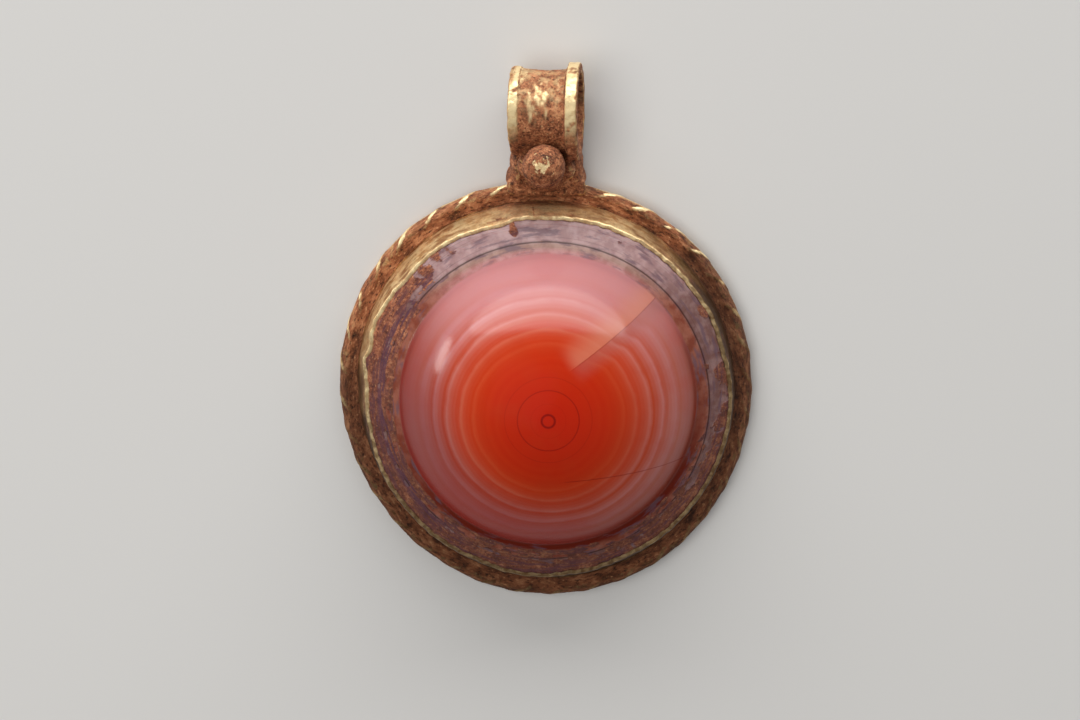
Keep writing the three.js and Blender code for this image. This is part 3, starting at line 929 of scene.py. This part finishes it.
hair_lines = put(
    tree, "TexWave", {"wave_type": "RINGS", "rings_direction": "Z", "wave_profile": "SIN"},
    Vector=from_axis, Scale=1.15, Distortion=1.2, Detail=2.0, Detail_Scale=0.5).outputs["Fac"]
fine_light = times(tree, minus(tree, hair_lines, 0.5), fade(tree, reach, 3.0, 9.0, 0.05, 0.12))
light = sums(tree, "ADD", by_reach(LAYERS), fine_light, clamp=True)
light = times(tree, light, fade(tree, right, -4.0, 5.0, 1.0, 0.68))
body = mix(tree, light, by_reach(GROUND), by_reach(LIGHT))
orange_cloud = fade(tree, cloud(tree, from_axis, 0.35, 4), 0.45, 0.7, 0.0, 0.25)
body = mix(tree, orange_cloud, body, (0.40, 0.03, 0.006))

# %% Thin dark rings round the eye
EYE_RINGS = [  # reach, half width and depth
    (0.50, 0.13, 0.75), (2.36, 0.07, 0.5), (3.35, 0.06, 0.22), (1.35, 0.05, 0.12)]
fine = plus(tree, reach, times(tree, waver, 0.5))
for ring, width, depth in EYE_RINGS:
    here = fade(tree, away(tree, fine, ring), width, width * 0.3, 0.0, depth)
    body = mix(tree, here, body, (0.16, 0.001, 0.0))

# %% Painted reflection: a pale pink haze towards the loop. Darker red towards the left and the foot
painted_haze = times(tree, fade(tree, up, 3.0, 10.5), fade(tree, reach, 6.5, 10.5, 0.0, 0.62))
body = mix(tree, painted_haze, body, (0.55, 0.25, 0.26))
lower_left = times(
    tree, fade(tree, plus(tree, right, up), 1.0, -12.0), fade(tree, reach, 5.5, 10.0, 0.0, 0.75))
foot_tone = mix(
    tree, fade(tree, up, -2.0, -9.0), (0.20, 0.020, 0.018), (0.28, 0.022, 0.017))
body = mix(tree, lower_left, body, foot_tone)

# %% [markdown]
# Light is caught in the fracture. So a pale wedge lies along its upper side, the tips of the rings
# are pale on its lower side, and a dark hair line runs between them. A second, thinner crack
# crosses the lower right of the dome.

# %% Cracks
wedge = times(tree, times(tree, fade(tree, off, 0.0, 0.05), fade(tree, off, 2.4, 0.2)),
              times(tree, starts, fade(tree, reach, 12.9, 12.7, 0.0, 0.55)))
body = mix(tree, wedge, body, (0.55, 0.20, 0.12))
body = mix(tree, times(tree, below, 0.35), body, (0.33, 0.12, 0.10))
hair_crack = times(tree, fade(tree, sums(tree, "ABSOLUTE", off), 0.07, 0.02), starts, 0.35)
body = mix(tree, hair_crack, body, (0.18, 0.03, 0.02))
second = plus(tree, plus(tree, up, 5.15), times(tree, right, -0.06), times(tree, waver, 1.5))
second = times(
    tree, fade(tree, sums(tree, "ABSOLUTE", second), 0.07, 0.02),
    times(tree, fade(tree, right, 0.8, 2.0), fade(tree, right, 11.4, 10.6)), 0.55)
body = mix(tree, second, body, (0.20, 0.008, 0.002))

# %% [markdown]
# The shoulder cuts through the outermost layers: a brown one that light passes through, a thin
# black line and a lilac one. They aren't quite round the same axis as the dome. Towards the loop
# both are paler. Violet patches and thin streaks follow the ring.

# %% Shoulder
BLACK_LINE = 12.85
line_flat = put(
    tree, "CombineXYZ", X=plus(tree, right, 0.12), Y=plus(tree, up, 0.30), Z=0.0).outputs[0]
line_reach = plus(tree, vectors(tree, "LENGTH", line_flat)["Value"], times(tree, waver, 0.8))
mottle = cloud(tree, from_axis, 1.1, 4)


def mottled(low, high, top=0.65):
    """Two tones of one layer, mixed by the same soft noise."""
    return mix(tree, fade(tree, mottle, 0.35, top), low, high)


tan = mottled((0.18, 0.045, 0.026), (0.27, 0.095, 0.062))
# Painted shade: the tan layer darkens at the foot of the dome, most on the lower side, away from the
# light.
downwards = minus(tree, times(tree, right, 0.2), up)
deep = times(tree, fade(tree, reach, 12.7, 12.1), fade(tree, downwards, -3.0, 10.0))
tan = mix(tree, deep, tan, (0.12, 0.012, 0.005))
lilac = mottled((0.15, 0.072, 0.062), (0.23, 0.135, 0.125), 0.7)
to_the_top = fade(tree, up, 7.0, 11.0)
pink = mottled((0.33, 0.13, 0.12), (0.42, 0.20, 0.195))
grey_tan = mottled((0.26, 0.145, 0.115), (0.34, 0.21, 0.17))
pale_tan = mix(tree, fade(tree, line_reach, 12.1, 12.6), pink, grey_tan)
pale_lilac = mottled((0.29, 0.170, 0.165), (0.40, 0.260, 0.250))
shoulder = mix(tree, fade(tree, line_reach, 12.6, 13.0), mix(tree, to_the_top, tan, pale_tan),
               mix(tree, to_the_top, lilac, pale_lilac))
violet = cloud(tree, along_the_ring(tree, from_axis, 6.5, 1.5), 1.0, 4)
shoulder = mix(tree, fade(tree, violet, 0.50, 0.66, 0.0, 0.7), shoulder, (0.115, 0.068, 0.088))
streaks = cloud(tree, put(tree, "CombineXYZ", X=line_reach).outputs[0], 7.0, 4)
shoulder = mix(tree, fade(tree, streaks, 0.52, 0.70, 0.0, 0.45), shoulder, (0.10, 0.045, 0.040))
black = fade(tree, away(tree, line_reach, BLACK_LINE), 0.09, 0.03, 0.0, 0.72)
shoulder = mix(tree, black, shoulder, (0.03, 0.012, 0.010))
body = mix(tree, fade(tree, reach, 11.62, 11.80), body, shoulder)

# %% [markdown]
# Soil on the stone is the same earth as on the gold, a little mauve where it is thin, with dark
# stains and one long violet stripe at the left. The crust that was pushed out of the shoulder says
# where it lies, and noise drawn along the ring tears its edge.

# %% Soil on the stone
STRIPE_REACH = 13.25
# Painted shade: the soil on the stone is darker on the side away from the light.
darkness = place_group(tree, painted_shade_side, Amount=0.45)["Dark"]
earth = place_group(tree, soil, Darkness=darkness, Drawn=0.5)
stain = cloud(tree, along_the_ring(tree, from_axis, 5.0, 2.6), 1.3, 5)
stained = mix(tree, 0.3, earth["Colour"], colour(128, 86, 82))
stained = mix(tree, fade(tree, stain, 0.47, 0.60, 0.0, 0.75), stained, colour(90, 58, 62))
uneven_reach = plus(tree, reach, times(tree, minus(tree, stain, 0.5), 1.6))
stripe = fade(tree, away(tree, uneven_reach, STRIPE_REACH), 0.30, 0.10, 0.0, 0.75)
stripe = times(tree, stripe, fade(tree, right, -5.0, -9.0))
stained = mix(tree, stripe, stained, colour(86, 58, 70))
torn = minus(tree, cloud(tree, along_the_ring(tree, mm, 9.0, 1.0), 3.2, 5), 0.5)
crusted = fade(tree, plus(tree, attribute(tree, "crust"), torn), 0.25, 0.62)

# %% Polish and relief of the stone
polish = times(tree, fade(tree, crusted, 0.15, 0.0), fade(tree, up, -9.0, 0.0, 0.15, 1.0),
               fade(tree, reach, 11.5, 10.2, 0.3, 1.0))
grind = times(tree, cloud(tree, from_axis, 9.0, 3), 0.06)
dress(tree, blend(tree, crusted, grind, earth["Height"]), 0.00007,
      Base_Color=mix(tree, crusted, body, stained),
      Roughness=blend(tree, crusted, 0.22, 0.9), Coat_Weight=polish)
shader["Coat Roughness"].default_value = 0.14
shader["Coat IOR"].default_value = 1.38
shader["Specular IOR Level"].default_value = 0.04
shader["Subsurface Weight"].default_value = 0.15
shader["Subsurface Scale"].default_value = 0.0006
hand_over(stone, "agate_cabochon", agate)

# %% [markdown]
# ## Suspension loop
#
# The loop is a strip of gold rolled into a short tube, with a bright rib at each end. A neck of
# solder joins it to the setting. Its main form is already right in the solid, so a copy of that is
# the start: its loose triangles are merged, beads of solder and earth are joined on where the
# photograph shows them, and a voxel remesh melts all into one skin.

# %% Solder beads and soil lumps
def bead(place, size, stretch):
    """A lump to be melted into the loop."""
    select_nothing()
    bpy.ops.mesh.primitive_ico_sphere_add(subdivisions=3, radius=size, location=place)
    bpy.context.object.scale = stretch
    return settled()


only(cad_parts["suspension_loop"])
bpy.ops.object.duplicate()
loop = bpy.context.object
loop.name = "ribbed_loop"
loop.parent = None
for key in list(loop.keys()):
    del loop[key]
loop.scale = (1 / METRES, 1 / METRES, 1 / METRES)
settled()
bpy.ops.object.mode_set(mode="EDIT")
bpy.ops.mesh.select_all(action="SELECT")
bpy.ops.mesh.remove_doubles(threshold=0.001)
bpy.ops.object.mode_set(mode="OBJECT")
PILLARS = [
    ((-2.0, 19.2, 2.4), 0.9, (0.75, 2.0, 1.6)), ((2.0, 19.2, 2.7), 0.9, (0.75, 2.0, 1.6)),
    ((-2.15, 18.2, 2.2), 0.75, (0.95, 2.6, 2.2)), ((2.25, 18.1, 2.2), 0.75, (0.95, 2.6, 2.2)),
    ((-2.25, 17.2, 1.4), 1.0, (0.95, 1.1, 1.0)), ((2.25, 17.2, 1.4), 1.0, (0.95, 1.1, 1.0))]
ROUND_THE_GRAIN = [
    ((0.0, 18.0, 3.3), 1.0, (1.9, 0.85, 0.95)), ((-1.6, 18.6, 4.6), 0.8, (0.8, 1.3, 1.0)),
    ((1.7, 18.3, 4.4), 0.7, (0.8, 1.3, 1.0))]
ALONG_THE_WIRE = [
    ((x, 17.3 - 0.03 * x * x, 1.7), 0.7, (1.2, 0.9, 0.9)) for x in (-1.6, -0.5, 0.5, 1.6)]
loop = join(loop, *[bead(*lump) for lump in PILLARS + ROUND_THE_GRAIN + ALONG_THE_WIRE])
even_out(loop, 0.078, 3)


def soften(piece, weights, rounds):
    """Melt the part of a piece that the weights pick."""
    only(piece)
    group = piece.vertex_groups.new(name="melt")
    for index in np.nonzero(weights > 0.02)[0]:
        group.add([int(index)], float(weights[index]), "REPLACE")
    apply_modifier(piece, "SMOOTH", factor=0.5, iterations=rounds, vertex_group="melt")
    piece.vertex_groups.clear()


points = places(loop)
soften(loop, 1 - step_up(points[:, 1], 20.0, 21.0), 34)
points = places(loop)
neck = 1 - step_up(points[:, 1], 18.8, 20.0)
push = 0.03 * lumps(points, 0.5) + 0.04 * lumps(points, 1.5, 2, (1, 6, 2))
push += 0.06 * neck * lumps(points, 0.6, 3)
set_places(loop, points + directions(loop) * push[:, None])
mark_relief(loop, 40)

# %% [markdown]
# The two ribs were rubbed bright from the top down to where the neck begins. On the way down their
# bright gold fades out, which is painted shade where the ribs turn away from the light. The left one
# is blunt at its upper corner. The hollow waist between them is mostly under soil, with a bright
# patch in its middle and a thin film of gold showing through at the top, which is partly painted
# light on the top of the loop.

# %% Where the loop was rubbed
BORE_TILT = 0.1
BORE_MIDDLE = np.array([0.0, 22.686, 3.812])
SHEET_REACH = 3.14  # outside of the sheet at the waist
FLARE = 0.26  # how much further the sheet reaches at its ends
HALF_LENGTH = 2.7
axis = np.array([math.cos(BORE_TILT), 0.0, math.sin(BORE_TILT)])
spoke = places(loop) - BORE_MIDDLE
along_axis = spoke @ axis
from_bore = np.linalg.norm(spoke - along_axis[:, None] * axis, axis=1)
above_sheet = from_bore - SHEET_REACH - FLARE * np.abs(along_axis) / HALF_LENGTH
end_face = step_up(np.abs(directions(loop) @ axis), 0.45, 0.8)
worn_corner = step_up(points[:, 1], 24.6, 26.0)
rib = step_up(-along_axis + 0.55 * worn_corner, 1.80, 1.95) * step_up(above_sheet, -0.04, 0.03)
rib *= 1 - worn_corner * step_up(-along_axis, 2.2, 2.5)
rib += step_up(along_axis, 1.55, 1.72) * step_up(above_sheet, 0.15, 0.33)
# Painted shade: the rubbed gold of the ribs fades out towards the neck, where they face down and away
# from the light.
rub = step_up(points[:, 1], 20.1, 22.5) * (1 - end_face)
rub *= step_up(1.15 + lumps(points, 0.9, 3), 0.3, 0.9)
patch = np.exp(-((along_axis + 0.35) / 1.15) ** 2 - ((points[:, 1] - 23.9) / 1.7) ** 2)
patch *= step_up(points[:, 2], 3.5, 5.0) * step_up(above_sheet, -0.1, -0.02)
long_lumps = lumps(points * np.array([1.0, 0.35, 1.0]), 0.42, 5, (6, 1, 1))
patch = step_up(patch + 0.62 * long_lumps, 0.30, 1.15)
showing = step_up(lumps(points, 0.45, 4, (2, 2, 9)), -0.4, 0.5)
# Partly a thin film of gold showing through the soil, partly painted light that brightens the top of
# the loop.
upper = 0.5 * step_up(points[:, 1], 21.8, 24.6) * showing
patch = np.maximum(0.95 * patch, upper * (1 - end_face))
mark(loop, "wear_and_light", np.clip(rib * rub, 0, 1) * 0.97 + np.where(rib > 0.5, 0, patch))
loop_gold = gold_finish("loop_gold", 0.09, 0.05, 0.16, 0.7, 0.2)
hand_over(loop, "suspension_loop", loop_gold)

# %% [markdown]
# ## Gold grain
#
# A grain is a scrap of gold melted until it draws itself into a ball. It is never quite round.
# An ico sphere has even faces, so it takes fine noise without pinching at poles. Its size and place
# are read from its solid. It is under soil, apart from a spot in front that was rubbed.

# %% Gold grain
grain_low, grain_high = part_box("gold_grain")
grain_middle = (grain_low + grain_high) / 2 / METRES
grain_radius = (grain_high - grain_low).x / 2 / METRES
select_nothing()
bpy.ops.mesh.primitive_ico_sphere_add(subdivisions=7, radius=grain_radius, location=grain_middle)
grain = settled()
grain.name = "soiled_grain"
points = places(grain)
push = 0.04 * lumps(points, 0.45, 4) + 0.05 * lumps(points, 1.3, 2, (3, 3, 8)) - 0.03
set_places(grain, points + directions(grain) * push[:, None])
mark(grain, "relief", push)
spot = directions(grain) @ np.array([-0.10, 0.17, 0.98])
mark(grain, "wear_and_light", 0.9 * step_up(spot + 0.10 * lumps(points, 0.4, 4, (1, 9, 1)), 0.93, 0.99))
grain_gold = gold_finish("grain_gold", 0.06, 0.06, 0.10, 0.5, 0.1)
hand_over(grain, "gold_grain", grain_gold)
